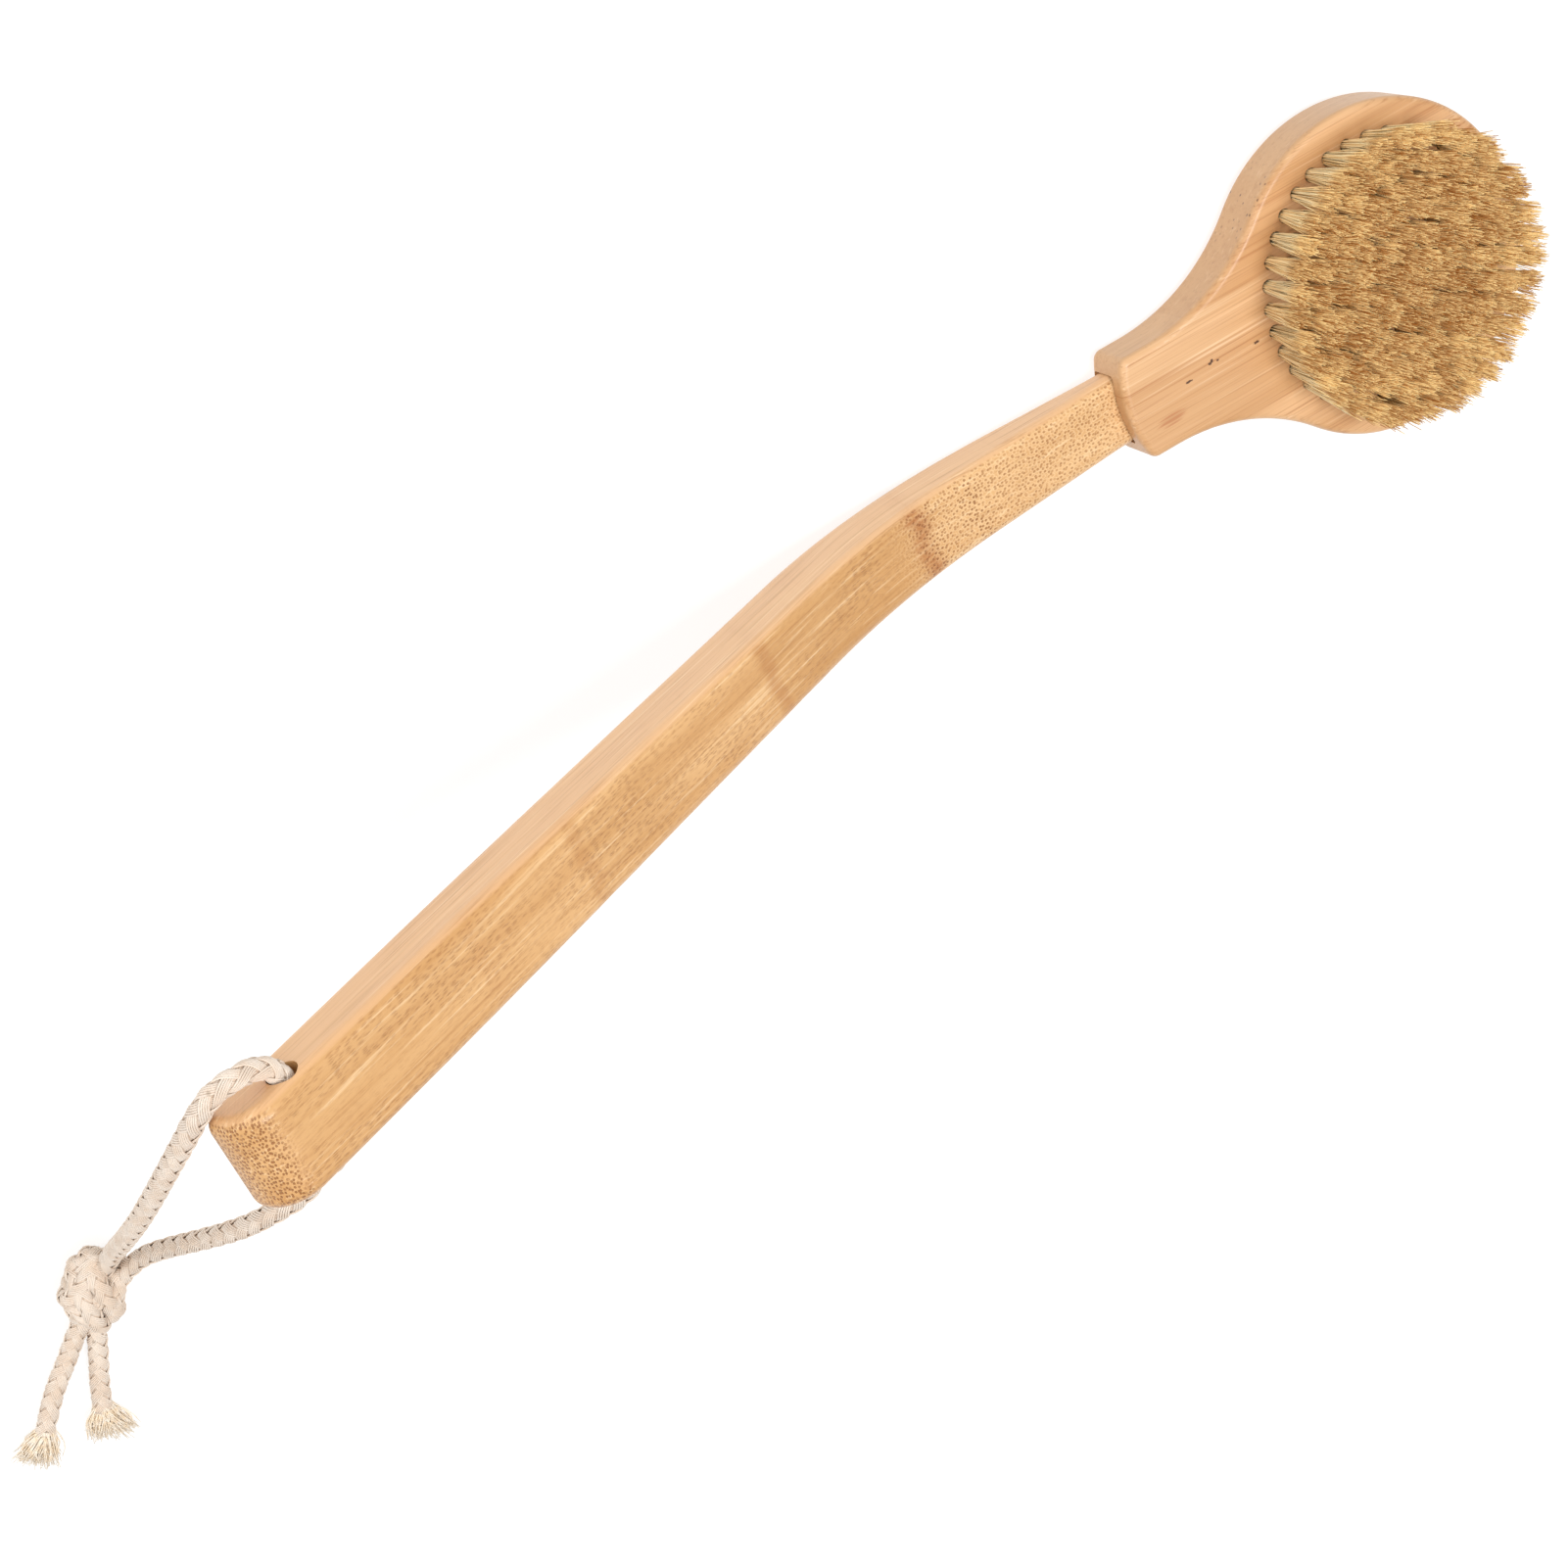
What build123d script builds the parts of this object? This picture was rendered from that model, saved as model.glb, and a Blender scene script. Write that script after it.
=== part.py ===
from build123d import *
import math
import os

# Body dry brush of solid bamboo with boar bristle tufts and a cotton hanging rope.
# Millimetres. The brush lies on its back: Z = 0 is the surface under the head's flat back,
# +X runs from the handle's butt to the head's tip, +Y is the width, +Z is where the tufts point.

# ---------------------------------------------------------------- head
HEAD_X = 145.0            # centre of the round head
HEAD_RADIUS = 40.0
HEAD_THICKNESS = 15.0
FRONT_RIM_FILLET = 1.8
BACK_RIM_FILLET = 2.6
NECK_HALF_WIDTH = 13.1
NECK_END_X = 73.8         # the neck's end, at its two corners
NECK_END_BOW = 2.8        # how far the middle of that end stands out towards the butt
NECK_CORNER_FILLET = 2.5
NECK_FLARE_RADIUS = 50.0  # hollow curve between neck and disc

# ---------------------------------------------------------------- push-fit joint
TENON_MOUTH_X = 70.0
TENON_END_X = 98.0
TENON_BOTTOM = 1.9
TENON_TOP = 10.4
TENON_HALF_WIDTH = 8.75
SOCKET_GAP = 0.25         # all round the tenon
SOCKET_END_GAP = 0.6
SOCKET_CORNER = 1.2

# ---------------------------------------------------------------- handle
BEND_FRONT = (4.0, 18.9)          # corner of the front outline, before rounding (x, z)
BEND_BACK = (-0.3, 0.0)           # corner of the back outline, before rounding
BACK_REST_X = 38.0                # from here to the bend the back touches the surface
FRONT_BEND_RADIUS = 160.0
BACK_BEND_RADIUS = 120.0
TENON_BLEND_RADIUS = 40.0
BUTT_BACK = (-184.7, 99.7)        # butt corners, before rounding
BUTT_FRONT = (-178.0, 112.3)
BUTT_FRONT_ROUND = 9.0
BUTT_BACK_ROUND = 4.4
BUTT_HALF_WIDTH = 11.0
WIDEST_X = -140.0                 # from here to the butt the handle has its full width
HANDLE_EDGE_FILLET = 3.0
PLAN_MARGIN = 6.0                 # the plan outline runs this far past the side outline

# ---------------------------------------------------------------- bristles
TUFT_PITCH = 5.3                  # between rings, and close to that round each ring
TUFT_RINGS = 6
TUFT_HOLE_RADIUS = 1.7
TUFT_HOLE_DEPTH = 10.0
TUFT_ROOT_RADIUS = 1.6
TUFT_TIP_RADIUS = 2.4
BRISTLE_TOP = 31.2                # height of the bristle tips
ANCHOR_WIRE = (3.2, 0.5, 1.3)     # flat wire staple under each tuft's fold: length, thickness, height
ANCHOR_GAP = 0.1

# ---------------------------------------------------------------- rope
ROPE_DIAMETER = 4.6
ROPE_HOLE_DIAMETER = 6.6
ROPE_HOLE = (-166.9, 101.0)       # x, z of the hole that runs through the butt along Y
ROPE_IN_HOLE = (-167.2, 100.7)    # the rope lies a little low in it
ROPE_BORE_HALF = 6.7              # half of the straight stretch inside the hole
RUN_SHARE = 0.45                  # of the shorter run beside a corner that its arc takes

# Each strand leaves one mouth of the hole, folds back along the butt and falls to the knot.
NEAR_ROUTE = [
    (-167.2, 6.7, 100.7),
    (-167.2, 11.7, 100.7),
    (-170.4, 15.1, 100.9),
    (-174.6, 15.3, 102.4),
    (-178.6, 15.0, 103.4),
    (-182.4, 13.6, 103.2),
    (-186.3, 9.0, 99.2),
    (-192.4, 0.5, 88.1),
    (-201.3, -13.0, 68.6),
    (-209.5, -27.0, 50.0),
    (-216.6, -40.0, 32.1),
    (-222.0, -50.4, 15.4),
    (-227.6, -56.6, 8.8),
]
FAR_ROUTE = [
    (-167.2, -6.7, 100.7),
    (-167.2, -11.6, 100.7),
    (-168.6, -15.0, 97.4),
    (-171.4, -15.7, 92.0),
    (-178.1, -19.5, 88.7),
    (-184.1, -24.5, 80.8),
    (-190.9, -31.0, 67.6),
    (-200.2, -39.4, 49.4),
    (-209.8, -47.6, 30.5),
    (-217.0, -53.6, 18.0),
    (-222.4, -58.0, 11.4),
    (-228.2, -61.6, 8.8),
]
NEAR_TAIL = [
    (-237.9, -66.6, 5.2),
    (-243.0, -71.8, 3.1),
    (-247.0, -75.8, 2.5),
    (-251.6, -79.6, 2.5),
    (-256.0, -84.2, 2.5),
    (-259.8, -88.8, 2.5),
]
FAR_TAIL = [
    (-235.6, -68.6, 5.2),
    (-238.6, -75.0, 3.1),
    (-241.2, -80.4, 2.5),
    (-244.0, -85.6, 2.5),
    (-246.4, -91.4, 2.5),
]
FRAY_LENGTH = 9.5
FRAY_HALF_WIDTH = 5.0
FRAY_HALF_HEIGHT = 2.4
KNOT_CENTRE = (-232.5, -61.6, 7.4)
KNOT_AXIS = (-0.68, -0.73, 0.0)
KNOT_HALF_LENGTH = 11.0
KNOT_RADIUS = 7.4


def mirrored(point):
    return (point[0], -point[1])


def head_outline():
    """Plan outline of the head: the disc, the flares and the bowed end of the neck."""
    rise = NECK_HALF_WIDTH + NECK_FLARE_RADIUS
    reach = HEAD_RADIUS + NECK_FLARE_RADIUS
    flare_x = HEAD_X - math.sqrt(reach**2 - rise**2)
    blend = (HEAD_X + (flare_x - HEAD_X) * HEAD_RADIUS / reach, rise * HEAD_RADIUS / reach)
    half_turn = math.asin((HEAD_X - flare_x) / reach) / 2
    flare_mid = (flare_x + NECK_FLARE_RADIUS * math.sin(half_turn), rise - NECK_FLARE_RADIUS * math.cos(half_turn))
    flare_start = (flare_x, NECK_HALF_WIDTH)
    corner = (NECK_END_X, NECK_HALF_WIDTH)
    tip = (HEAD_X + HEAD_RADIUS, 0)
    with BuildSketch() as sketch:
        with BuildLine():
            Line(corner, flare_start)
            ThreePointArc(flare_start, flare_mid, blend)
            ThreePointArc(blend, tip, mirrored(blend))
            ThreePointArc(mirrored(blend), mirrored(flare_mid), mirrored(flare_start))
            Line(mirrored(flare_start), mirrored(corner))
            ThreePointArc(mirrored(corner), (NECK_END_X - NECK_END_BOW, 0), corner)
        make_face()
        fillet(sketch.vertices().sort_by(Axis.X)[:2], NECK_CORNER_FILLET)
    return sketch.sketch


def ring_places(ring):
    """Centres of the tufts in one ring; ring 0 is the single tuft in the middle."""
    count = max(1, 6 * ring)
    radius = TUFT_PITCH * ring
    step = 2 * math.pi / count
    turn = step / 2 * (ring % 2)
    return [
        (HEAD_X + radius * math.cos(turn + step * i), radius * math.sin(turn + step * i))
        for i in range(count)
    ]


def cylinders(places, radius, bottom, top):
    height = top - bottom
    return [Pos(x, y, bottom) * Solid.make_cylinder(radius, height) for x, y in places]


def make_head():
    """The head, with its blind tuft holes and the socket that takes the handle."""
    head = extrude(head_outline(), HEAD_THICKNESS)
    top_edges = head.faces().sort_by(Axis.Z)[-1].edges()
    head = fillet(top_edges, FRONT_RIM_FILLET)
    bottom_edges = head.faces().sort_by(Axis.Z)[0].edges()
    head = fillet(bottom_edges, BACK_RIM_FILLET)
    width = 2 * (TENON_HALF_WIDTH + SOCKET_GAP)
    height = TENON_TOP - TENON_BOTTOM + 2 * SOCKET_GAP
    start = TENON_MOUTH_X - 2
    length = TENON_END_X + SOCKET_END_GAP - start
    section = Plane.YZ.offset(start) * Pos(0, (TENON_TOP + TENON_BOTTOM) / 2) * RectangleRounded(
        width, height, SOCKET_CORNER
    )
    head -= extrude(section, length)
    places = [place for ring in range(TUFT_RINGS + 1) for place in ring_places(ring)]
    holes = cylinders(places, TUFT_HOLE_RADIUS, HEAD_THICKNESS - TUFT_HOLE_DEPTH, HEAD_THICKNESS + 1)
    return head.cut(*holes)


def make_tufts(ring):
    """Tufts of one ring: straight in the hole, flaring to the tips above the face."""
    base = HEAD_THICKNESS - TUFT_HOLE_DEPTH + ANCHOR_WIRE[2] + ANCHOR_GAP
    tufts = []
    for x, y in ring_places(ring):
        root = Solid.make_cylinder(TUFT_ROOT_RADIUS, HEAD_THICKNESS - base)
        flare = Solid.make_cone(TUFT_ROOT_RADIUS, TUFT_TIP_RADIUS, BRISTLE_TOP - HEAD_THICKNESS)
        tuft = root.fuse(Pos(0, 0, HEAD_THICKNESS - base) * flare)
        tufts.append(Pos(x, y, base) * tuft)
    return Compound(children=tufts)


def make_anchors(ring):
    """Flat wire staples that hold each folded tuft at the bottom of its hole."""
    length, thickness, height = ANCHOR_WIRE
    bottom = HEAD_THICKNESS - TUFT_HOLE_DEPTH
    anchors = []
    for x, y in ring_places(ring):
        heading = math.degrees(math.atan2(y, x - HEAD_X)) + 90
        wire = Solid.make_box(length, thickness, height)
        anchors.append(Pos(x, y, bottom) * Rot(0, 0, heading) * Pos(-length / 2, -thickness / 2, 0) * wire)
    return Compound(children=anchors)


def handle_side_profile():
    """Side outline of the handle: tenon, rise out of the neck, bend and straight grip."""
    corners = {
        (TENON_END_X, TENON_BOTTOM): 0,
        (TENON_END_X, TENON_TOP): 0,
        (TENON_MOUTH_X, TENON_TOP): TENON_BLEND_RADIUS,
        BEND_FRONT: FRONT_BEND_RADIUS,
        BUTT_FRONT: BUTT_FRONT_ROUND,
        BUTT_BACK: BUTT_BACK_ROUND,
        BEND_BACK: BACK_BEND_RADIUS,
        (BACK_REST_X, 0.0): BACK_BEND_RADIUS,
        (TENON_MOUTH_X, TENON_BOTTOM): TENON_BLEND_RADIUS,
    }
    outline = FilletPolyline(*corners, radius=list(corners.values()), close=True)
    return Plane.XZ * make_face(outline)


def handle_plan():
    """Plan outline of the handle: it widens gently from the tenon, then runs straight to the butt."""
    side = [
        (TENON_END_X + PLAN_MARGIN, TENON_HALF_WIDTH),
        (20.0, 9.2),
        (-80.0, 10.4),
        (WIDEST_X, BUTT_HALF_WIDTH),
    ]
    far_corner = (BUTT_BACK[0] - PLAN_MARGIN, BUTT_HALF_WIDTH)
    with BuildSketch(Plane.XY.offset(-PLAN_MARGIN)) as sketch:
        with BuildLine():
            Spline(*side, tangents=[(-1, 0), (-1, 0)])
            Polyline(side[-1], far_corner, mirrored(far_corner), mirrored(side[-1]))
            Spline(*[mirrored(point) for point in reversed(side)], tangents=[(1, 0), (1, 0)])
            Line(mirrored(side[0]), side[0])
        make_face()
    return sketch.sketch


def make_handle():
    """The one-piece curved handle, with the tenon at one end and the rope hole at the other."""
    slab = extrude(handle_side_profile(), BUTT_HALF_WIDTH + PLAN_MARGIN, both=True)
    handle = slab & extrude(handle_plan(), BUTT_FRONT[1] + 2 * PLAN_MARGIN)
    long_edges = [
        edge
        for edge in handle.edges()
        if abs(edge.center().Y) > TENON_HALF_WIDTH / 2 and edge.center().X < TENON_END_X - 1
    ]
    handle = fillet(long_edges, HANDLE_EDGE_FILLET)
    x, z = ROPE_HOLE
    hole = Pos(x, 0, z) * Rot(90, 0, 0) * Cylinder(ROPE_HOLE_DIAMETER / 2, 4 * BUTT_HALF_WIDTH)
    return handle - hole


def cord_radii(points, name):
    """Arc radius at each corner of a route: as large as the shorter run beside it allows."""
    radii = []
    for before, corner, after in zip(points, points[1:], points[2:]):
        run_in = Vector(*corner) - Vector(*before)
        run_out = Vector(*after) - Vector(*corner)
        turn = math.radians(run_in.get_angle(run_out))
        radii.append(RUN_SHARE * min(run_in.length, run_out.length) / math.tan(turn / 2))
    print(name, "radii", [round(radius, 1) for radius in radii])
    return radii


def make_cord(points, name):
    """A plain round tube along a route of straight runs joined by tangent arcs."""
    path = FilletPolyline(*points, radius=cord_radii(points, name))
    heading = Vector(*points[1]) - Vector(*points[0])
    section = Plane(origin=points[0], z_dir=heading) * Circle(ROPE_DIAMETER / 2)
    tube = sweep(section, path=path)
    expected = math.pi * ROPE_DIAMETER**2 / 4 * path.length
    print(name, "length", round(path.length, 1), "volume ratio", round(tube.volume / expected, 4))
    return tube


def make_bore_rope():
    """The straight stretch of rope inside the handle's hole."""
    x, z = ROPE_IN_HOLE
    return Pos(x, 0, z) * Rot(90, 0, 0) * Cylinder(ROPE_DIAMETER / 2, 2 * ROPE_BORE_HALF)


def make_knot():
    """Outer shape of the doubled overhand knot: a body of revolution along the rope."""
    with BuildSketch() as sketch:
        Ellipse(KNOT_HALF_LENGTH, KNOT_RADIUS)
        with Locations((0, -KNOT_RADIUS)):
            Rectangle(2 * KNOT_HALF_LENGTH, 2 * KNOT_RADIUS, mode=Mode.SUBTRACT)
    body = revolve(sketch.sketch, Axis.X, 360)
    return Plane(origin=KNOT_CENTRE, x_dir=KNOT_AXIS, z_dir=(0, 0, 1)) * body


def make_fray(tail):
    """The opened end of a tail: the round rope spreads to a flat brush of fibres."""
    end = Vector(*tail[-1])
    heading = (end - Vector(*tail[-2])).normalized()
    start_plane = Plane(origin=end, x_dir=(-heading.Y, heading.X, 0), z_dir=heading)
    end_plane = start_plane.offset(FRAY_LENGTH)
    return loft([start_plane * Circle(ROPE_DIAMETER / 2), end_plane * Ellipse(FRAY_HALF_WIDTH, FRAY_HALF_HEIGHT)])


os.makedirs("parts", exist_ok=True)

nodes = {
    "head": make_head(),
    "handle": make_handle(),
    "rope_in_hole": make_bore_rope(),
    "rope_strand_near": make_cord(NEAR_ROUTE, "rope_strand_near"),
    "rope_strand_far": make_cord(FAR_ROUTE, "rope_strand_far"),
    "rope_knot": make_knot(),
    "rope_tail_near": make_cord(NEAR_TAIL, "rope_tail_near"),
    "rope_tail_far": make_cord(FAR_TAIL, "rope_tail_far"),
    "rope_fray_near": make_fray(NEAR_TAIL),
    "rope_fray_far": make_fray(FAR_TAIL),
}
for ring in range(TUFT_RINGS + 1):
    name = f"ring_{ring}" if ring else "centre"
    nodes[f"tufts_{name}"] = make_tufts(ring)
    nodes[f"anchors_{name}"] = make_anchors(ring)

for name, shape in nodes.items():
    export_step(shape, f"parts/{name}.step")
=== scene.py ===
"""Body dry brush: bamboo head and handle, boar bristle tufts, plaited cotton hanging rope."""
import math
import random
import bpy
import numpy as np
from mathutils import Euler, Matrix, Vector


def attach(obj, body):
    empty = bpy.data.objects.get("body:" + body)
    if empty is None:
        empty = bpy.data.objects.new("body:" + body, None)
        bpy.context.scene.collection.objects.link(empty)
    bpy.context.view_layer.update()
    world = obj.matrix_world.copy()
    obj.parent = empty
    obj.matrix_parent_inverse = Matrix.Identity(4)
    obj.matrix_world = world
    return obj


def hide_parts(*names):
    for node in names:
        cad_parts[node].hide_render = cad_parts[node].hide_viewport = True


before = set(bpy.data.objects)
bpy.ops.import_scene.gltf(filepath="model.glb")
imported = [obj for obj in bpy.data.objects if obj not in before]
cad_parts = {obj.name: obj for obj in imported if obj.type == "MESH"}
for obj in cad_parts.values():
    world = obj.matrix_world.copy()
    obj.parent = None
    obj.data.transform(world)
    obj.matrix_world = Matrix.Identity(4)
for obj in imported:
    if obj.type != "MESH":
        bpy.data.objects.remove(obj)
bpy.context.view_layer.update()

# ------------------------------------------------------------------ sizes, in metres
HEAD_CENTRE = (0.145, 0.0)
FACE_Z = 0.015             # the head's front face
BRISTLE_TOP = 0.0312
TUFT_PITCH = 0.0053
TUFT_RINGS = 6
ROPE_DIAMETER = 0.0046

# Routes of the rope's two strands, each from the middle of the hole to its end.
NEAR_ROUTE = [
    (-0.1672, 0.0010, 0.1007),
    (-0.1672, 0.0067, 0.1007),
    (-0.1673, 0.0116, 0.1007),
    (-0.1700, 0.0148, 0.1013),
    (-0.1744, 0.0162, 0.1034),
    (-0.1790, 0.0162, 0.1042),
    (-0.1840, 0.0124, 0.1018),
    (-0.1894, 0.0046, 0.0930),
    (-0.1956, -0.0046, 0.0818),
    (-0.2028, -0.0159, 0.0675),
    (-0.2097, -0.0268, 0.0530),
    (-0.2172, -0.0398, 0.0330),
    (-0.2226, -0.0500, 0.0162),
    (-0.2276, -0.0566, 0.0088),
    (-0.2330, -0.0616, 0.0066),
    (-0.2379, -0.0666, 0.0052),
    (-0.2430, -0.0718, 0.0031),
    (-0.2470, -0.0758, 0.0025),
    (-0.2516, -0.0796, 0.0025),
    (-0.2560, -0.0842, 0.0025),
    (-0.2598, -0.0888, 0.0025),
]
FAR_ROUTE = [
    (-0.1672, -0.0010, 0.1007),
    (-0.1672, -0.0067, 0.1002),
    (-0.1672, -0.0106, 0.0996),
    (-0.1680, -0.0144, 0.0948),
    (-0.1692, -0.0160, 0.0905),
    (-0.1716, -0.0190, 0.0872),
    (-0.1764, -0.0232, 0.0840),
    (-0.1836, -0.0270, 0.0776),
    (-0.1909, -0.0326, 0.0670),
    (-0.2002, -0.0406, 0.0490),
    (-0.2098, -0.0484, 0.0303),
    (-0.2170, -0.0536, 0.0180),
    (-0.2224, -0.0580, 0.0114),
    (-0.2282, -0.0618, 0.0088),
    (-0.2322, -0.0654, 0.0066),
    (-0.2356, -0.0686, 0.0052),
    (-0.2386, -0.0750, 0.0031),
    (-0.2412, -0.0804, 0.0025),
    (-0.2440, -0.0856, 0.0025),
    (-0.2464, -0.0914, 0.0025),
]


# ------------------------------------------------------------------ camera
CAMERA_PLACE = (-0.145142, 0.222979, 0.508127)
CAMERA_DEGREES = (-19.949, -22.2465, -24.2918)
CAMERA_LENS = 56.215


def make_camera():
    data = bpy.data.cameras.new("camera")
    data.lens = CAMERA_LENS
    data.sensor_width = 36.0
    data.clip_start, data.clip_end = 0.02, 20.0
    camera = bpy.data.objects.new("camera", data)
    camera.location = CAMERA_PLACE
    camera.rotation_euler = Euler([math.radians(turn) for turn in CAMERA_DEGREES])
    bpy.context.scene.collection.objects.link(camera)
    bpy.context.scene.camera = camera


# ------------------------------------------------------------------ meshes
def new_piece(name, vertices, faces, material, body):
    mesh = bpy.data.meshes.new(name)
    mesh.from_pydata([tuple(v) for v in vertices], [], [tuple(f) for f in faces])
    mesh.shade_smooth()
    mesh.materials.append(material)
    piece = bpy.data.objects.new(name, mesh)
    bpy.context.scene.collection.objects.link(piece)
    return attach(piece, body)


def with_layer(piece, name, values):
    """The piece with one number stored at each vertex, for its material to read."""
    layer = piece.data.attributes.new(name, "FLOAT", "POINT")
    layer.data.foreach_set("value", np.asarray(values, np.float32))
    return piece


def spline_points(name, route, cyclic=False):
    """Points of the smooth NURBS line that a route controls."""
    curve = bpy.data.curves.new(name, "CURVE")
    curve.dimensions = "3D"
    spline = curve.splines.new("NURBS")
    spline.points.add(len(route) - 1)
    for point, place in zip(spline.points, route):
        point.co = (*place, 1.0)
    spline.order_u = 3
    spline.use_endpoint_u = not cyclic
    spline.use_cyclic_u = cyclic
    spline.resolution_u = 16
    line = bpy.data.objects.new(name, curve)
    mesh = bpy.data.meshes.new_from_object(line)
    points = np.array([v.co for v in mesh.vertices], float)
    bpy.data.objects.remove(line)
    bpy.data.meshes.remove(mesh)
    if cyclic:
        points = np.vstack([points, points[:1]])
    keep = np.r_[True, np.linalg.norm(np.diff(points, axis=0), axis=1) > 1e-7]
    return points[keep]


def evenly(points, step):
    """Places a constant step apart along a line, and the points there."""
    runs = np.r_[0, np.cumsum(np.linalg.norm(np.diff(points, axis=0), axis=1))]
    count = max(4, int(round(runs[-1] / step)))
    places = np.linspace(0, runs[-1], count + 1)
    return places, np.stack([np.interp(places, runs, points[:, k]) for k in range(3)], axis=1)


def unit(vectors):
    return vectors / np.maximum(np.linalg.norm(vectors, axis=-1, keepdims=True), 1e-12)


def normals_along(points, facing=None):
    """Two normals at each point of a line: the first kept facing one way, or turning as little as possible."""
    tangents = unit(np.gradient(points, axis=0))
    if facing is not None:
        facing = np.array(facing)
        normals = unit(facing - tangents * (tangents @ facing)[:, None])
        return normals, np.cross(tangents, normals)
    first = np.cross(tangents[0], (0.0, 0.0, 1.0))
    if np.linalg.norm(first) < 0.1:
        first = np.cross(tangents[0], (0.0, 1.0, 0.0))
    normals = [first / np.linalg.norm(first)]
    for tangent in tangents[1:]:
        turned = normals[-1] - tangent * (normals[-1] @ tangent)
        normals.append(turned / np.linalg.norm(turned))
    normals = np.array(normals)
    return normals, np.cross(tangents, normals)


def tube(points, radii, sides, base):
    """Vertices and faces of a closed tube with flat ends; base is the first vertex's number."""
    normals, across = normals_along(points)
    turn = np.linspace(0, 2 * math.pi, sides, endpoint=False)
    radii = np.broadcast_to(radii, len(points))
    ring = (np.cos(turn)[None, :, None] * normals[:, None]
            + np.sin(turn)[None, :, None] * across[:, None])
    vertices = (points[:, None] + radii[:, None, None] * ring).reshape(-1, 3)
    faces = []
    for i in range(len(points) - 1):
        low, high = base + i * sides, base + (i + 1) * sides
        for k in range(sides):
            m = (k + 1) % sides
            faces.append((low + k, low + m, high + m, high + k))
    faces.append(tuple(base + k for k in reversed(range(sides))))
    last = base + (len(points) - 1) * sides
    faces.append(tuple(last + k for k in range(sides)))
    return vertices, faces


# ------------------------------------------------------------------ plaited rope
CARRIERS = 4              # each way round
YARNS = 5                 # side by side in a carrier
YARN_SPREAD = 0.252       # angle between neighbouring yarns
YARN_RADIUS = 0.000225
YARN_SIDES = 5
PLAIT_PITCH = 0.0145      # one full turn of a carrier
PLAIT_WAVE = 0.00033      # how far a carrier rises and dips
PLAIT_TURN = math.pi / 8  # puts a row of crossings in the middle of the side that shows
PLAIT_FULLNESS = 1.05     # the soft plait stands a little proud of the rope's measured diameter
DRAWN_OUT = 1.25          # how much longer the pitch is where the rope hangs straight down
TWIST_RUN = 0.016         # length over which the rope's slow twist comes and goes
CORE_RADIUS = 0.00163
CORE_SIDES = 8
CORE_EVERY = 3            # the core takes every third point of the line
ROPE_FACE = (-0.2, 0.45, 0.87)   # the side that the middle of the plait is turned to


def plait(points, diameter, step=0.0006, phase=0.0, facing=None, twist=0.0):
    """Eight carriers of fine yarns, two over and two under, round a core, and how deep each point lies."""
    places, line = evenly(points, step)
    normals, across = normals_along(line, facing)
    scale = diameter / ROPE_DIAMETER
    middle = (ROPE_DIAMETER / 2 - YARN_RADIUS - PLAIT_WAVE) * scale
    turn = PLAIT_TURN + twist * np.sin(places / TWIST_RUN)
    drawn = 1.0
    if facing is not None:
        drawn = 1 + DRAWN_OUT * unit(np.gradient(line, axis=0))[:, 2] ** 2
    crossings = phase + 2 * CARRIERS / (PLAIT_PITCH * scale) * np.cumsum(np.r_[0, np.diff(places)] / drawn)
    vertices, faces, depths, count = [], [], [], 0
    for way in (1, -1):
        for carrier in range(CARRIERS):
            shift = (way * crossings + 2 * carrier - 0.5) / 4
            radius = middle + way * PLAIT_WAVE * scale * np.cos(2 * math.pi * shift)
            for yarn in range(YARNS):
                lean = (yarn - (YARNS - 1) / 2) * YARN_SPREAD
                angle = way * math.pi / 4 * crossings + math.pi / 2 * carrier + lean + turn
                outward = np.cos(angle)[:, None] * normals + np.sin(angle)[:, None] * across
                yarn_line = line + radius[:, None] * outward
                v, f = tube(yarn_line, YARN_RADIUS * scale, YARN_SIDES, count)
                away = np.linalg.norm(v.reshape(len(line), YARN_SIDES, 3) - line[:, None], axis=2).ravel()
                depths.append((diameter / 2 - away) / (diameter / 2))
                vertices.append(v)
                faces += f
                count += len(v)
    v, f = tube(line[::CORE_EVERY], CORE_RADIUS * scale, CORE_SIDES, count)
    vertices.append(v)
    # The core counts as deepest, so its colour takes the full painted shade.
    depths.append(np.ones(len(v)))
    faces += f
    return np.vstack(vertices), faces, np.concatenate(depths)


FRAY_FIBRES = 360
FRAY_START_RADIUS = 0.0021
FRAY_OVERLAP = 0.0012     # the fibres start this far inside the rope's end
FRAY_DROP = 0.0009        # how far a fibre's tip sinks under its own weight
FRAY_LOWEST = 0.00022     # the fibres lie on the surface
FIBRE_LEVELS = (0.0, 0.22, 0.45, 0.7, 1.0)
FIBRE_RADII = np.array([0.00017, 0.00016, 0.00015, 0.00013, 0.00007])
FIBRE_SIDES = 4

# Locks that the fibres part into: the way each leans, its length, and how far it fans out.
NEAR_LOCKS = ((-0.30, 0.0100, 0.20), (0.22, 0.0106, 0.22), (-0.26, 0.0090, 0.22))
FAR_LOCKS = ((0.02, 0.0095, 0.22), (0.48, 0.0112, 0.26), (-0.14, 0.0088, 0.20))


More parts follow.
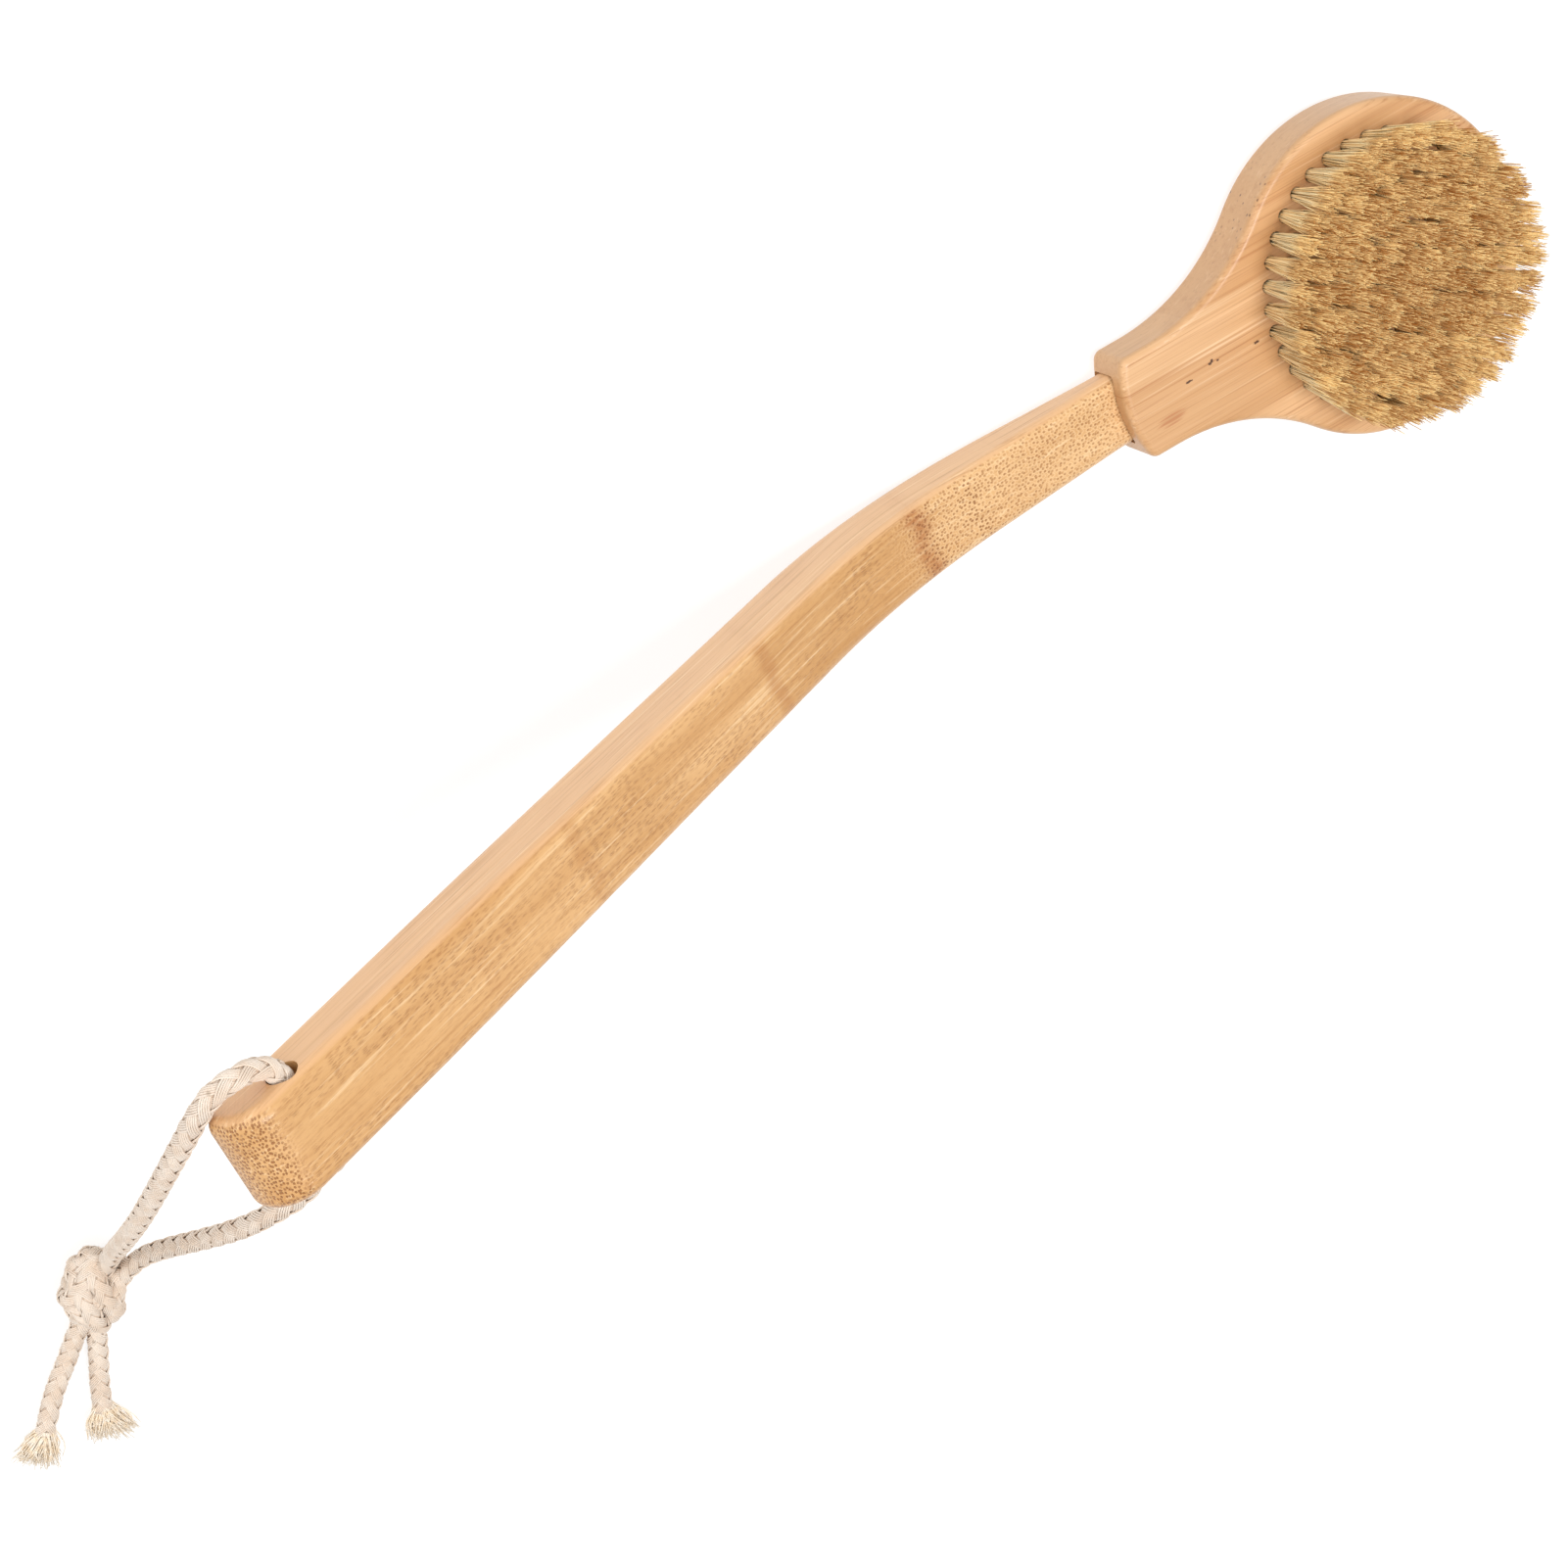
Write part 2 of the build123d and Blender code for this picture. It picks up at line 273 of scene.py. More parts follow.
def fray(route, locks, seed):
    """Opened yarns at a rope's end: fine fibres that spread over the surface."""
    rng = random.Random(seed)
    end = np.array(route[-1])
    ahead = np.subtract(route[-1], route[-2])
    ahead = ahead / np.linalg.norm(ahead)
    side = np.array((-ahead[1], ahead[0], 0.0))
    up = np.array((0.0, 0.0, 1.0))
    vertices, faces, base = [], [], 0
    for _ in range(FRAY_FIBRES):
        angle, radius = rng.uniform(0, 2 * math.pi), FRAY_START_RADIUS * math.sqrt(rng.random())
        start_side, start_up = radius * math.cos(angle), radius * math.sin(angle)
        lean, reach, spread = rng.choice(locks)
        fan = lean + spread * rng.gauss(0.0, 0.4) + start_side * 60
        length = reach * rng.uniform(0.72, 1.06)
        lift = start_up + rng.gauss(0.0, 0.0006)
        curl = rng.gauss(0.0, 0.0009)
        places = []
        for t in FIBRE_LEVELS:
            over = start_side + math.sin(fan) * length * t ** 1.35 + curl * math.sin(math.pi * t)
            high = start_up * (1 - t) + lift * t - FRAY_DROP * t
            place = end - ahead * FRAY_OVERLAP + ahead * length * t * math.cos(fan) + side * over + up * high
            place[2] = max(place[2], FRAY_LOWEST)
            places.append(place)
        v, f = tube(np.array(places), FIBRE_RADII, FIBRE_SIDES, base)
        vertices.append(v)
        faces += f
        base += len(v)
    return np.vstack(vertices), faces


KNOT_CENTRE = Vector((-0.2318, -0.0606, 0.0076))
KNOT_DOWN = Vector((-0.68, -0.73, 0.0)).normalized()
KNOT_ACROSS = Vector((0.73, -0.68, 0.0)).normalized()
KNOT_EGG = (0.0057, 0.0088, 0.0052)      # half its size across, down and up
KNOT_TURN_POINTS = 12

# The knot's turns: each a flat section of the egg, given by the way it faces (across, down, up), how far it
# lies from the middle, and how far out it is.
KNOT_TURNS = (
    ((0.80, -1.0, 0.10), -0.27, 1.00),
    ((0.80, -1.0, 0.05), 0.30, 1.02),
    ((0.25, 1.0, 0.25), -0.74, 1.08),
    ((0.55, 1.0, -0.10), -0.05, 0.80),
    ((1.0, 0.50, 0.0), -0.74, 1.02),
    ((1.0, -0.10, 0.10), 0.76, 1.00),
    ((-0.35, 1.0, 0.05), 0.62, 0.90),
    ((0.15, 0.10, 1.0), 0.05, 0.78),
)


def knot_route(index, facing, offset, out):
    """Points round one turn of the knot, a little uneven."""
    facing = Vector(facing).normalized()
    first = facing.cross(Vector((0, 0, 1))).normalized()
    second = facing.cross(first)
    radius = math.sqrt(1 - offset**2)
    route = []
    for i in range(KNOT_TURN_POINTS):
        angle = 2 * math.pi * i / KNOT_TURN_POINTS
        wobble = 1.06 + 0.03 * math.sin(2 * angle + index)
        place = facing * offset + (first * math.cos(angle) + second * math.sin(angle)) * radius * wobble
        across, down, up = (out * size * part for size, part in zip(KNOT_EGG, place))
        route.append(KNOT_CENTRE + KNOT_ACROSS * across + KNOT_DOWN * down + Vector((0, 0, up)))
    return route


def knot_body():
    vertices, faces, depths, base = [], [], [], 0
    for index, knot_turn in enumerate(KNOT_TURNS):
        line = spline_points("knot_line", knot_route(index, *knot_turn), cyclic=True)
        v, f, d = plait(line, ROPE_DIAMETER, step=0.0008, phase=1.3 * index)
        vertices.append(v)
        faces += [tuple(k + base for k in face) for face in f]
        depths.append(d)
        base += len(v)
    return np.vstack(vertices), faces, np.concatenate(depths)


# ------------------------------------------------------------------ bristles
HAIRS_PER_TUFT = 135
HAIR_LEVELS = np.array([0.0, 0.22, 0.60, 1.0])        # of its height
HAIR_RADII = np.array([0.000135, 0.000140, 0.000130, 0.000095])
HAIR_SIDES = 3
HAIR_FOOT = FACE_Z - 0.0025      # the hairs start a little way down the hole
ROOT_RADIUS = 0.00145
TIP_RADIUS = 0.00262
TIP_SCATTER = 0.00036
STRAY_SHARE = 0.035              # of the hairs stand out from their tuft
STRAY_SCATTER = 0.0011
OUTER_LEAN = (0.0001, 0.0010)    # the outermost tufts splay


def ring_places(ring):
    count, radius = max(1, 6 * ring), TUFT_PITCH * ring
    step = 2 * math.pi / count
    turn = step / 2 * (ring % 2)
    angles = [turn + step * i for i in range(count)]
    return [(HEAD_CENTRE[0] + radius * math.cos(a), HEAD_CENTRE[1] + radius * math.sin(a)) for a in angles]


def tuft_lines(x, y, ring, rng):
    """Centre lines and tones of one tuft's hairs: a tight bundle that opens towards the tips."""
    n = HAIRS_PER_TUFT
    tuft_tone = rng.uniform(-0.18, 0.18)
    lean = rng.normal(0.0, 0.00045, 2)
    if ring == TUFT_RINGS:
        lean = lean + unit(np.array((x - HEAD_CENTRE[0], y - HEAD_CENTRE[1]))) * rng.uniform(*OUTER_LEAN)
    tuft_top = BRISTLE_TOP + rng.normal(0.0, 0.00018)
    angle = rng.uniform(0, 2 * math.pi, n)
    bearing = np.stack([np.cos(angle), np.sin(angle)], 1)
    share = np.sqrt(rng.random(n))
    root = bearing * (share * ROOT_RADIUS)[:, None]
    spread = TIP_RADIUS + 0.0005 * rng.random(n)
    tip = bearing * (share * spread)[:, None]
    tip += rng.normal(0.0, TIP_SCATTER, (n, 2)) + lean
    stray = rng.random(n) < STRAY_SHARE
    tip[stray] += rng.normal(0.0, STRAY_SCATTER, (stray.sum(), 2))
    top = tuft_top - 0.0007 * share**2 + rng.normal(0.0, 0.00060, n)
    top[stray] -= rng.random(stray.sum()) * 0.0012
    bow = rng.normal(0.0, 0.00022, (n, 2))
    # The outer rings are painted lighter, a painted lift of the shade on their shafts; the rest of the tone
    # varies at random.
    tone = 0.40 + 0.24 * (ring / TUFT_RINGS) ** 3 + tuft_tone + rng.normal(0.0, 0.38, n)
    heights = HAIR_FOOT + HAIR_LEVELS[None] * (top - HAIR_FOOT)[:, None]
    opened = np.clip((heights - FACE_Z) / (BRISTLE_TOP - FACE_Z), 0, 1) ** 0.85
    centre = np.array((x, y)) + root[:, None] + (tip - root)[:, None] * opened[..., None]
    centre = centre + bow[:, None] * np.sin(math.pi * HAIR_LEVELS)[None, :, None]
    return centre, heights, np.clip(tone, 0, 1)


def hair_faces(count, first):
    """Faces of equal hairs whose vertices follow each other, from the given number on."""
    per_hair = len(HAIR_LEVELS) * HAIR_SIDES
    start = first + np.arange(count)[:, None, None] * per_hair
    level = start + np.arange(len(HAIR_LEVELS) - 1)[None, :, None] * HAIR_SIDES
    k = np.arange(HAIR_SIDES)
    m = (k + 1) % HAIR_SIDES
    quads = np.stack([level + k, level + m, level + HAIR_SIDES + m, level + HAIR_SIDES + k], -1)
    lows = start[:, 0] + k[::-1]
    highs = start[:, 0] + per_hair - HAIR_SIDES + k
    return quads.reshape(-1, 4).tolist() + lows.tolist() + highs.tolist()


def tuft_ring(ring):
    """Vertices, faces and tones of all the hairs in one ring of tufts."""
    rng = np.random.default_rng(40 + ring)
    corner = np.linspace(0, 2 * math.pi, HAIR_SIDES, endpoint=False)
    vertices, faces, tones, base = [], [], [], 0
    for x, y in ring_places(ring):
        centre, heights, tone = tuft_lines(x, y, ring, rng)
        hair_x = centre[..., 0, None] + HAIR_RADII[None, :, None] * np.cos(corner)
        hair_y = centre[..., 1, None] + HAIR_RADII[None, :, None] * np.sin(corner)
        hair_z = np.broadcast_to(heights[..., None], hair_x.shape)
        vertices.append(np.stack([hair_x, hair_y, hair_z], -1).reshape(-1, 3))
        tones.append(np.repeat(tone, len(HAIR_LEVELS) * HAIR_SIDES))
        faces += hair_faces(HAIRS_PER_TUFT, base)
        base += len(vertices[-1])
    return np.vstack(vertices), faces, np.concatenate(tones)


# ------------------------------------------------------------------ node materials
class Paint:
    """A node material under construction."""

    def __init__(self, name, roughness, **finish):
        self.material = bpy.data.materials.new(name)
        self.material.use_nodes = True
        self.tree = self.material.node_tree
        self.shader = self.tree.nodes["Principled BSDF"]
        self.shader.inputs["Roughness"].default_value = roughness
        for socket, value in finish.items():
            self.shader.inputs[socket.replace("_", " ")].default_value = value

    def put(self, kind, sockets, **settings):
        node = self.tree.nodes.new(kind)
        for key, value in settings.items():
            setattr(node, key, value)
        for key, value in sockets.items():
            if isinstance(value, bpy.types.NodeSocket):
                self.tree.links.new(value, node.inputs[key])
            else:
                node.inputs[key].default_value = value
        return node

    def math(self, operation, *values, clamp=False):
        node = self.put("ShaderNodeMath", dict(enumerate(values)), operation=operation, use_clamp=clamp)
        return node.outputs[0]

    def plus(self, first, second):
        return self.math("ADD", first, second)

    def minus(self, first, second):
        return self.math("SUBTRACT", first, second)

    def most(self, first, second):
        return self.math("MAXIMUM", first, second)

    def times(self, first, *others):
        for other in others:
            first = self.math("MULTIPLY", first, other)
        return first

    def without(self, value, share=1.0):
        """1 less a share of value."""
        return self.minus(1.0, value if share == 1.0 else self.times(value, share))

    def attribute(self, name):
        return self.put("ShaderNodeAttribute", {}, attribute_name=name).outputs["Fac"]

    def coordinates(self):
        return self.put("ShaderNodeTexCoord", {}).outputs["Object"]

    def normal(self):
        return self.put("ShaderNodeTexCoord", {}).outputs["Normal"]

    def split(self, vector):
        node = self.put("ShaderNodeSeparateXYZ", {0: vector})
        return node.outputs[0], node.outputs[1], node.outputs[2]

    def join(self, x, y, z):
        return self.put("ShaderNodeCombineXYZ", {0: x, 1: y, 2: z}).outputs[0]

    def stretch(self, vector, x, y, z):
        node = self.put("ShaderNodeVectorMath", {0: vector, 1: (x, y, z)}, operation="MULTIPLY")
        return node.outputs[0]

    def noise(self, vector, detail=2.0, roughness=0.5):
        sockets = {"Vector": vector, "Scale": 1.0, "Detail": detail, "Roughness": roughness}
        return self.put("ShaderNodeTexNoise", sockets).outputs["Fac"]

    def cells(self, vector, randomness=1.0, flat=False):
        sockets = {"Vector": vector, "Scale": 1.0, "Randomness": randomness}
        node = self.put("ShaderNodeTexVoronoi", sockets, voronoi_dimensions="2D" if flat else "3D")
        return node.outputs["Distance"], node.outputs["Color"]

    def between(self, value, low, high, start=0.0, end=1.0):
        """value from low to high, taken smoothly to start to end."""
        sockets = {"Value": value, "From Min": low, "From Max": high, "To Min": start, "To Max": end}
        node = self.put("ShaderNodeMapRange", sockets, interpolation_type="SMOOTHSTEP")
        return node.outputs[0]

    def hump(self, value, place, width):
        """A soft hump of the given half width round one place."""
        offset = self.math("ABSOLUTE", self.minus(value, place))
        return self.between(offset, width, 0.0)

    def mix(self, share, first, second):
        node = self.tree.nodes.new("ShaderNodeMix")
        node.data_type = "RGBA"
        for socket, value in ((node.inputs[0], share), (node.inputs[6], first), (node.inputs[7], second)):
            if isinstance(value, bpy.types.NodeSocket):
                self.tree.links.new(value, socket)
            else:
                socket.default_value = (*value, 1.0) if isinstance(value, tuple) else value
        return node.outputs[2]

    def streaks(self, colour, grain, kinds):
        """The colour with each kind of streak laid over it, and the noise that drew each."""
        noises = []
        for scales, detail, roughness, start, full, share, tint in kinds:
            noises.append(self.noise(self.stretch(grain, *scales), detail, roughness))
            colour = self.mix(self.between(noises[-1], start, full, 0.0, share), colour, tint)
        return colour, noises

    def finish(self, colour, height=None, depth=0.0001, strength=0.5, roughness=None):
        self.tree.links.new(colour, self.shader.inputs["Base Color"])
        if roughness is not None:
            self.tree.links.new(roughness, self.shader.inputs["Roughness"])
        if height is not None:
            sockets = {"Height": height, "Strength": strength, "Distance": depth}
            bump = self.put("ShaderNodeBump", sockets)
            self.tree.links.new(bump.outputs[0], self.shader.inputs["Normal"])
        return self.material


LACQUER = {"Coat_Weight": 0.22, "Coat_Roughness": 0.22}

# Bamboo of the handle.
PALE = (0.760, 0.455, 0.205)
HONEY = (0.650, 0.355, 0.140)
ROSY = (0.800, 0.475, 0.245)
BUTT_BROWN = (0.540, 0.275, 0.090)
CULM_BROWN = (0.530, 0.265, 0.082)
NODE_RED = (0.420, 0.150, 0.040)
PORE_RIM = (0.95, 0.680, 0.390)
UMBER = (0.300, 0.098, 0.020)
# Streaks: scales along, across and through the grain, detail, roughness, where they start and are full in the
# noise, their strength, and their colour.
HANDLE_STREAKS = (
    ((16, 420, 420), 2.0, 0.60, 0.50, 0.75, 0.40, (0.50, 0.240, 0.075)),
    ((34, 1700, 1700), 3.0, 0.65, 0.50, 0.74, 0.55, (0.42, 0.185, 0.055)),
    ((26, 1100, 1300), 2.0, 0.60, 0.54, 0.76, 0.60, (0.93, 0.665, 0.385)),
)
HANDLE_NODES = (  # x, half width, strength of the weaker cane nodes
    (-0.0385, 0.0030, 0.34),
    (-0.0960, 0.0028, 0.20),
    (-0.1240, 0.0024, 0.10),
)
NECK_NODE = (0.0120, 0.0046)          # x and half width of the strongest one

BEND_X = 0.0065                       # where the handle bends up from the surface
BEND_BLEND = 0.03
BEND_STRETCH = 0.1305                 # extra length along the slope for each metre of x
BEND_SLOPE = 0.527
HANDLE_MIDDLE_Z = 0.007


def bend_coordinates(paint):
    """Place, and coordinates that follow the handle: along the grain, across, and through the thickness."""
    x, y, z = paint.split(paint.coordinates())
    past = paint.math("SMOOTH_MIN", paint.minus(x, BEND_X), 0.0, BEND_BLEND)
    along = paint.plus(x, paint.times(past, BEND_STRETCH))
    through = paint.plus(paint.minus(z, HANDLE_MIDDLE_Z), paint.times(past, BEND_SLOPE))
    return x, y, z, along, paint.join(along, y, paint.times(through, 0.9))


def pores(paint, vector, scales, randomness, size, odds):
    """Cut ends of the vessels, one in each cell: the cells' distances, and how dark each pore is."""
    distance, tint = paint.cells(paint.stretch(vector, *scales, 0), randomness, flat=True)
    return distance, paint.times(paint.between(distance, *size), paint.between(paint.split(tint)[0], *odds))


def handle_pores(paint, x, y, z, along, grain, front):
    """Short dashes on the straight grip, dots where the grain runs out at the neck and the butt."""
    flat = paint.join(along, y, 0.0)
    end_on = paint.join(y, paint.plus(paint.times(x, 1.35), paint.times(z, 0.41)), 0.0)
    _, dashes = pores(paint, flat, (430, 2300), 1.0, (0.52, 0.12), (0.10, 0.70, 0.15, 1.0))
    distance, dots = pores(paint, flat, (820, 1180), 0.85, (0.36, 0.14), (0.05, 0.6, 0.30, 1.0))
    _, end_dots = pores(paint, end_on, (1150, 1150), 0.80, (0.40, 0.20), (0.05, 0.4, 0.45, 1.0))
    patch = paint.noise(paint.stretch(grain, 26, 90, 90), 1.0)
    neck = paint.between(x, -0.002, 0.016)
    butt = paint.between(x, -0.1700, -0.1745)
    belt = paint.most(paint.hump(x, 0.0125, 0.0070), paint.hump(x, 0.0268, 0.0052))
    dots = paint.times(dots, paint.times(neck, paint.plus(0.60, paint.times(belt, 0.40))))
    dashes = paint.times(dashes, paint.between(patch, 0.35, 0.62, 0.15, 0.46))
    dashes = paint.times(dashes, paint.without(paint.most(neck, butt), 0.85))
    dark = paint.most(paint.most(dashes, dots), paint.times(end_dots, butt))
    rim = paint.times(paint.between(distance, 0.30, 0.48), paint.between(distance, 0.70, 0.48))
    rim = paint.times(rim, neck, paint.times(front, 0.40))
    return paint.math("MULTIPLY", dark, front, clamp=True), rim


def handle_nodes(paint, x, grain, lines, side):
    """Bands of darker wood across the handle, where the cane had its nodes."""
    wander = paint.noise(paint.stretch(grain, 60, 260, 260), 2.0)
    shifted = paint.plus(x, paint.times(paint.minus(wander, 0.5), 0.007))
    red = paint.times(paint.hump(shifted, *NECK_NODE), paint.between(lines, 0.30, 0.62, 0.30, 0.85))
    for place, width, strength in HANDLE_NODES:
        red = paint.most(red, paint.times(paint.hump(shifted, place, width), strength))
    return paint.times(red, paint.without(side, 0.85))


def bamboo_handle():
    paint = Paint("bamboo_handle", 0.42, **LACQUER)
    x, y, z, along, grain = bend_coordinates(paint)
    side = paint.between(paint.math("ABSOLUTE", paint.split(paint.normal())[1]), 0.58, 0.80)
    front = paint.without(side, 0.95)
    cloud = paint.noise(paint.stretch(grain, 14, 130, 130), 2.0)
    colour = paint.mix(paint.between(cloud, 0.32, 0.68), HONEY, PALE)
    colour = paint.mix(paint.between(x, -0.070, -0.170, 0.0, 0.40), colour, BUTT_BROWN)
    colour = paint.mix(paint.times(side, 0.65), colour, ROSY)
    upper_culm = paint.minus(paint.between(x, -0.041, -0.0395), paint.between(x, 0.006, 0.014))
    lower_culm = paint.minus(paint.between(x, -0.099, -0.097), paint.between(x, -0.078, -0.060))
    culm = paint.plus(paint.times(upper_culm, 0.30), paint.times(lower_culm, 0.22))
    colour = paint.mix(paint.times(culm, paint.without(side)), colour, CULM_BROWN)
    colour, (_, lines, _) = paint.streaks(colour, grain, HANDLE_STREAKS)
    dark, rim = handle_pores(paint, x, y, z, along, grain, front)
    colour = paint.mix(rim, colour, PORE_RIM)
    colour = paint.mix(handle_nodes(paint, x, grain, lines, side), colour, NODE_RED)
    colour = paint.mix(paint.times(dark, 0.86), colour, UMBER)
    height = paint.minus(paint.times(lines, 0.45), dark)
    rough = paint.between(cloud, 0.2, 0.8, 0.34, 0.48)
    return paint.finish(colour, height, 0.00022, 0.8, rough)


# Bamboo of the head.
HEAD_HONEY = (0.600, 0.325, 0.142)
HEAD_PALE = (0.760, 0.460, 0.235)
HEAD_SIDE_BROWN = (0.560, 0.320, 0.150)
STRIP_BROWN = (0.58, 0.285, 0.110)
FLAW_RED = (0.420, 0.130, 0.038)
FLECK_BLACK = (0.11, 0.045, 0.018)
HEAD_STREAKS = (
    ((10, 860, 520), 3.0, 0.62, 0.53, 0.71, 0.62, (0.430, 0.170, 0.052)),
    ((22, 2200, 1600), 2.0, 0.60, 0.50, 0.74, 0.55, (0.420, 0.180, 0.062)),
    ((14, 800, 800), 2.0, 0.60, 0.56, 0.78, 0.55, (0.93, 0.665, 0.410)),
)
STRIP_WIDTH = 0.0098          # the head is glued up from strips
STRIP_EDGE_Y = -0.0052        # one of their edges
GLUE_LINE = (0.0046, 0.00022)     # y and half width of the joint that shows
NODE_MARK = (0.1105, 0.0010)      # x and half width of the cane node at the disc's side
HEAD_FLAW = (0.0812, -0.0060, 0.0034, 0.0014)   # x, y, half length, half width
HEAD_FLECKS = (                   # x, y, half length, half width on the front face
    (0.0881, 0.0001, 0.0009, 0.00030),
    (0.0946, 0.0014, 0.0005, 0.00030),
    (0.0953, 0.0018, 0.0004, 0.00045),
    (0.0968, 0.0012, 0.0004, 0.00025),
    (0.1077, 0.0002, 0.0008, 0.00035),
)


def ellipse(paint, x, y, centre_x, centre_y, half_length, half_width):
    """How far out of an ellipse a point lies: 0 in the middle, 1 on its edge, and growing by the square."""
    across = paint.math("DIVIDE", paint.minus(x, centre_x), half_length)
    down = paint.math("DIVIDE", paint.minus(y, centre_y), half_width)
    return paint.plus(paint.times(across, across), paint.times(down, down))


def head_strips(paint, y):
    """A random number for each glued strip."""
    number = paint.math("FLOOR", paint.math("DIVIDE", paint.minus(y, STRIP_EDGE_Y), STRIP_WIDTH))
    return paint.put("ShaderNodeTexWhiteNoise", {"W": number}, noise_dimensions="1D").outputs[0]


def head_pores(paint, place, x, side):
    """Dots in the side of the head, most of them near the node."""
    pore, tint = paint.cells(paint.stretch(place, 700, 700, 900))
    dots = paint.times(paint.between(pore, 0.30, 0.16), paint.between(paint.split(tint)[0], 0.55, 0.7))
    near_node = paint.times(paint.hump(x, 0.119, 0.010), side)
    return paint.times(dots, paint.plus(paint.times(near_node, 0.7), paint.times(side, 0.14)))


def bamboo_head():
    paint = Paint("bamboo_head", 0.42, **LACQUER)
    place = paint.coordinates()
    x, y, z = paint.split(place)
    face = paint.between(paint.math("ABSOLUTE", paint.split(paint.normal())[2]), 0.35, 0.75)
    side = paint.without(face)
    cloud = paint.noise(paint.stretch(place, 9, 120, 120), 2.0)
    colour = paint.mix(paint.between(cloud, 0.30, 0.70), HEAD_HONEY, HEAD_PALE)
    colour = paint.mix(paint.between(head_strips(paint, y), 0.0, 1.0, 0.0, 0.35), colour, STRIP_BROWN)
    colour, (streak, hair_lines, _) = paint.streaks(colour, place, HEAD_STREAKS)
    colour = paint.mix(paint.times(side, 0.60), colour, HEAD_SIDE_BROWN)

    joint = paint.times(paint.hump(y, *GLUE_LINE), paint.between(x, 0.112, 0.075, 0.0, 0.75))
    wavy_x = paint.plus(x, paint.times(cloud, 0.004))
    node = paint.times(paint.hump(wavy_x, *NODE_MARK), paint.times(paint.between(y, 0.020, 0.027), 0.6))
    colour = paint.mix(paint.most(joint, node), colour, NODE_RED)
    ragged = paint.times(paint.minus(hair_lines, 0.5), 8.0)
    flaw = paint.between(paint.plus(ellipse(paint, x, y, *HEAD_FLAW), ragged), 1.1, -0.2)
    colour = paint.mix(paint.times(flaw, paint.between(z, 0.0135, 0.0145, 0.0, 0.62)), colour, FLAW_RED)

    fleck = head_pores(paint, place, x, side)
    top = paint.between(z, 0.0135, 0.0145)
    ragged = paint.times(paint.minus(paint.noise(paint.stretch(place, 2600, 2600, 2600), 2.0), 0.5), 3.4)
    for outline in HEAD_FLECKS:
        spot = paint.between(paint.plus(ellipse(paint, x, y, *outline), ragged), 1.25, 0.75)
        fleck = paint.most(fleck, paint.times(spot, top))
    colour = paint.mix(fleck, colour, FLECK_BLACK)
    height = paint.minus(paint.times(streak, -0.35), fleck)
    rough = paint.between(cloud, 0.2, 0.8, 0.36, 0.50)
    return paint.finish(colour, height, 0.00010, 0.55, rough)


def bristle_hair():
    """Boar bristle: pale shafts, and tips from brown to straw by each hair's tone."""
    paint = Paint("boar_bristle", 0.50, Specular_IOR_Level=0.22)
    place = paint.coordinates()
    tone = paint.attribute("tone")
    up = paint.between(paint.split(place)[2], FACE_Z, BRISTLE_TOP)
    shaft = paint.mix(tone, (1.0, 0.70, 0.33), (1.0, 0.86, 0.55))
    tips = paint.mix(tone, (0.37, 0.135, 0.022), (1.0, 0.740, 0.345))
    colour = paint.mix(paint.between(up, 0.60, 0.95), shaft, tips)
    speck = paint.noise(paint.stretch(place, 900, 900, 260), 2.0)
    colour = paint.mix(paint.between(speck, 0.5, 0.8, 0.0, 0.3), colour, (0.66, 0.36, 0.12))
    return paint.finish(colour, speck, 0.00003, 0.3)


def cotton():
    """Unbleached cotton: fine fibre, painted shade where a point lies deep in the plait, and a few seed
    flecks.
    """
    paint = Paint("cotton_rope", 0.88, Sheen_Weight=0.25, Sheen_Roughness=0.5)
    place = paint.coordinates()
    fibre = paint.noise(paint.stretch(place, 3800, 3800, 3800), 3.0, 0.7)
    tint = paint.noise(paint.stretch(place, 260, 260, 260), 2.0)
    colour = paint.mix(paint.between(tint, 0.35, 0.65), (0.755, 0.618, 0.498), (0.815, 0.706, 0.602))
    colour = paint.mix(paint.between(fibre, 0.55, 0.80, 0.0, 0.35), colour, (0.70, 0.51, 0.36))
    # Painted shade: a darker brown where a point lies deep in the plait, standing in for the shade between the
    # yarns and on the core.
    painted_deep_shade = paint.between(paint.attribute("depth"), 0.17, 0.50, 0.0, 0.42)
    colour = paint.mix(painted_deep_shade, colour, (0.60, 0.410, 0.265))
    fleck, fleck_tint = paint.cells(paint.stretch(place, 520, 520, 520))
    few = paint.between(paint.split(fleck_tint)[1], 0.93, 0.97)
    seed = paint.times(paint.between(fleck, 0.30, 0.18), few)
    colour = paint.mix(paint.times(seed, 0.75), colour, (0.26, 0.17, 0.09))
    return paint.finish(colour, fibre, 0.00012, 0.7)


def open_yarn():
    paint = Paint("open_yarn", 0.80, Sheen_Weight=0.30, Sheen_Roughness=0.5)
    place = paint.coordinates()
    tint = paint.noise(paint.stretch(place, 700, 700, 700), 2.0)
    colour = paint.mix(paint.between(tint, 0.35, 0.65), (0.90, 0.74, 0.54), (0.95, 0.85, 0.72))
    return paint.finish(colour, paint.noise(paint.stretch(place, 3000, 3000, 3000), 2.0), 0.00006, 0.4)


def staple_wire():
    paint = Paint("staple_wire", 0.38, Metallic=1.0)
    drawn = paint.noise(paint.stretch(paint.coordinates(), 900, 900, 5000), 2.0)
    colour = paint.mix(drawn, (0.52, 0.51, 0.49), (0.78, 0.77, 0.74))
    return paint.finish(colour, drawn, 0.00002, 0.4)


def floor_paint():
    """A pale floor that is partly lit by itself, so that it comes out white without a bright light."""
    paint = Paint("floor", 0.75, Emission_Color=(1.0, 1.0, 1.0, 1.0), Emission_Strength=0.74)
    drift = paint.noise(paint.stretch(paint.coordinates(), 3, 3, 3), 2.0)
    return paint.finish(paint.mix(drift, (0.325, 0.325, 0.324), (0.335, 0.335, 0.334)))


